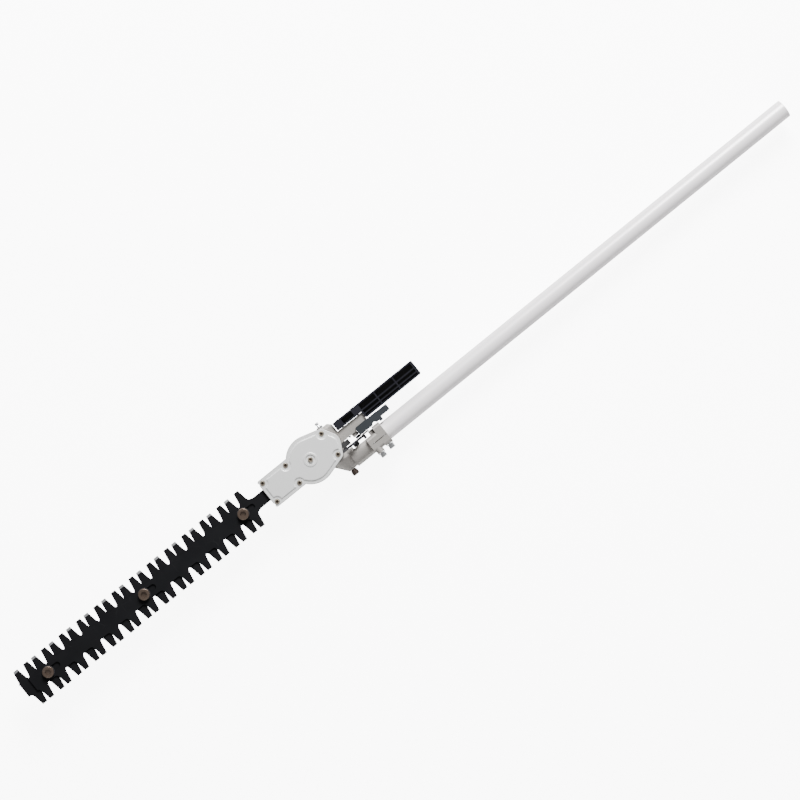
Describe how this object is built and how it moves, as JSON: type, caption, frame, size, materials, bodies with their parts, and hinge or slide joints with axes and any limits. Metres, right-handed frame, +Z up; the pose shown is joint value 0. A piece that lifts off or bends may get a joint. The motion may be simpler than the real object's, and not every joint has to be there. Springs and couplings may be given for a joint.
{
  "type": "hedge trimmer",
  "caption": "Articulating long-reach hedge trimmer attachment: a drive tube, a tilting angle-drive head with a latch handle, and two sliding toothed blades.",
  "frame": {"origin": "bottom centre of the bounding box, at rest with the blades in line with the tube", "axes": "+X along the tube, away from the blades; -X to the blade tips; +Y from the tube axis towards the blade line; +Z up, towards the gear cover"},
  "size_m": [1.2954, 0.094, 0.0643],
  "materials": {
    "white_tube": "glossy silver-white, anodised",
    "cast_case": "satin, cast",
    "cover": "satin silver",
    "black_steel": "satin black",
    "blade": "satin black with bright ground edges",
    "bronze": "bronze-brown plating",
    "zinc": "bright zinc plating",
    "steel": "bare machined steel",
    "plug": "dark brown",
    "handle_plastic": "glossy black, moulded",
    "latch_plastic": "matt slate",
    "rubber": "matt black",
    "gasket": "matt grey",
    "bronze_bush": "plain"
  },
  "bodies": {
    "tube_side": {"shaft_tube": "white_tube", "shaft_case": "cast_case", "drive_bearing": "steel", "case_plug": "plug", "index_plate": "black_steel", "shaft_bush_1": "rubber", "shaft_bush_2": "rubber", "shaft_bush_3": "rubber", "clamp_bolt_inner": "zinc", "clamp_bolt_outer": "zinc", "index_plate_bolt_1": "black_steel", "index_plate_bolt_2": "black_steel"},
    "drive_line": {"drive_shaft": "steel", "drive_pinion": "steel"},
    "pivot_line": {"pivot_shaft": "steel", "pivot_gear_lower": "steel", "pivot_gear_upper": "steel"},
    "head": {"head_case": "cast_case", "head_cover": "cover", "cover_gasket": "gasket", "crank_axle": "steel", "crank_screw": "bronze", "grease_nipple": "zinc", "idler_bearing": "steel", "idler_bush": "bronze_bush", "pivot_bearing": "steel", "pivot_clip": "black_steel", "pivot_boot": "rubber", "guide_bar": "black_steel", "cover_screw_1": "bronze", "cover_screw_2": "bronze", "cover_screw_3": "bronze", "cover_screw_4": "bronze", "cover_screw_5": "bronze", "cover_screw_6": "bronze", "guide_screw_1": "black_steel", "handle": "handle_plastic", "handle_screw_1": "zinc", "handle_screw_2": "zinc", "spring_pin": "steel", "latch_spring": "steel", "blade_bolt_1": "bronze", "blade_bolt_2": "bronze", "blade_bolt_3": "bronze", "blade_washer_1": "black_steel", "blade_washer_2": "black_steel", "blade_washer_3": "black_steel", "blade_nut_1": "zinc", "blade_nut_2": "zinc", "blade_nut_3": "zinc"},
    "idler": {"idler_shaft": "steel", "idler_bevel": "steel"},
    "crank": {"crank_gear": "steel"},
    "latch": {"latch": "latch_plastic", "latch_pawl": "black_steel"},
    "upper_blade": {"upper_blade": "blade"},
    "lower_blade": {"lower_blade": "blade", "lower_rod": "steel", "rod_rivet_1": "steel", "rod_rivet_2": "steel"}
  },
  "joints": [
    {"name": "head_tilt", "type": "hinge", "parent": "tube_side", "child": "head", "pos_m": [-0.11327, 0.01275, 0.03214], "axis": [0, -1, 0], "range_deg": [-45, 45]},
    {"name": "latch_slide", "type": "slide", "parent": "head", "child": "latch", "axis": [1, 0, 0], "range_m": [0, 0.005], "stiffness_N_per_m": 1500, "springref_m": -0.006},
    {"name": "drive_spin", "type": "hinge", "parent": "tube_side", "child": "drive_line", "pos_m": [0, -0.02115, 0.03214], "axis": [1, 0, 0], "continuous": true},
    {"name": "pivot_spin", "type": "hinge", "parent": "tube_side", "child": "pivot_line", "pos_m": [-0.11327, 0, 0.03214], "axis": [0, 1, 0], "continuous": true},
    {"name": "idler_spin", "type": "hinge", "parent": "head", "child": "idler", "pos_m": [-0.11327, 0.01275, 0.04], "axis": [0, 0, 1], "continuous": true},
    {"name": "crank_spin", "type": "hinge", "parent": "head", "child": "crank", "pos_m": [-0.14877, 0.01275, 0.04], "axis": [0, 0, 1], "continuous": true},
    {"name": "upper_blade_slide", "type": "slide", "parent": "head", "child": "upper_blade", "axis": [-1, 0, 0], "range_m": [0, 0.0152]},
    {"name": "lower_blade_slide", "type": "slide", "parent": "head", "child": "lower_blade", "axis": [1, 0, 0], "range_m": [0, 0.0152]}
  ],
  "couplings": [
    {"joint": "pivot_spin", "follows": "drive_spin", "ratio": -1},
    {"joint": "idler_spin", "follows": "drive_spin", "ratio": 1},
    {"joint": "crank_spin", "follows": "drive_spin", "ratio": -0.42857},
    {"joint": "lower_blade_slide", "follows": "upper_blade_slide", "ratio": 1}
  ]
}
